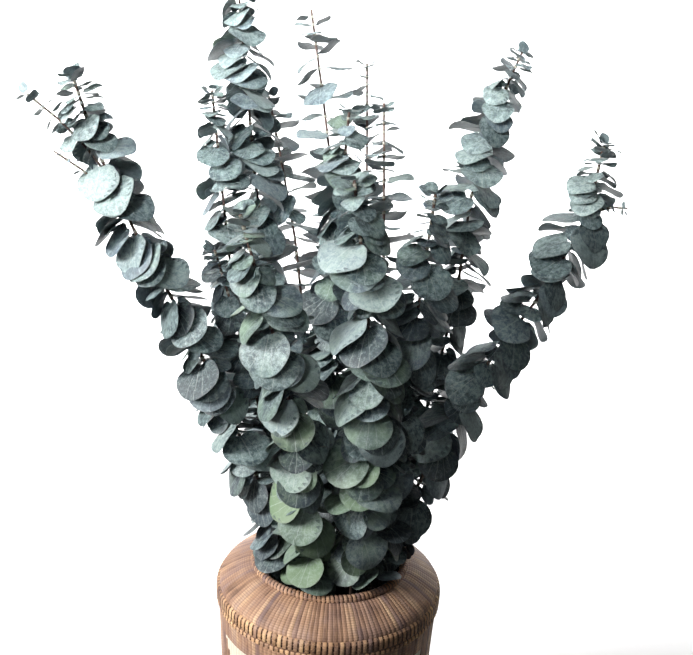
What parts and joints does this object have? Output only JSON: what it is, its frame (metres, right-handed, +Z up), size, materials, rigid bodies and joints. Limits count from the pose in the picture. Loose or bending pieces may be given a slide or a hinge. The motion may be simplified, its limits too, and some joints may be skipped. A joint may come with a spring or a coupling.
{
  "type": "eucalyptus branches in a woven vase",
  "caption": "Tall preserved eucalyptus branches with round blue-green leaves in crossed pairs, fanned out of a round woven vase with a glass liner",
  "frame": {"origin": "centre of the vase's flat underside, on the vase's axis", "axes": "+Z up along the vase's axis, the longest extent; +X to the right and -Y towards the viewer in the picture"},
  "size_m": [0.4351, 0.3067, 0.7182],
  "materials": {
    "woven_brown": "flat bamboo splints, stained brown, satin",
    "braid_tan": "braided rattan, satin",
    "braid_gold": "braided rattan, golden, satin",
    "liner_glass": "pale clear glass",
    "eucalyptus_leaf": "preserved leaf with a pale waxy bloom, matt"
  },
  "bodies": {
    "root": {"vase_shell": "woven_brown", "mouth_braid": "braid_tan", "edge_braid": "braid_gold", "inner_liner": "liner_glass", "branch_front": "eucalyptus_leaf", "branch_front_left": "eucalyptus_leaf", "branch_far_left": "eucalyptus_leaf", "branch_far_right": "eucalyptus_leaf", "branch_front_right": "eucalyptus_leaf", "branch_right": "eucalyptus_leaf", "branch_centre": "eucalyptus_leaf", "branch_tall_left": "eucalyptus_leaf", "branch_back_left": "eucalyptus_leaf", "branch_left": "eucalyptus_leaf", "branch_back_inner_left": "eucalyptus_leaf", "branch_tall_back": "eucalyptus_leaf", "branch_back_right": "eucalyptus_leaf", "branch_back_far_right": "eucalyptus_leaf"}
  },
  "joints": []
}
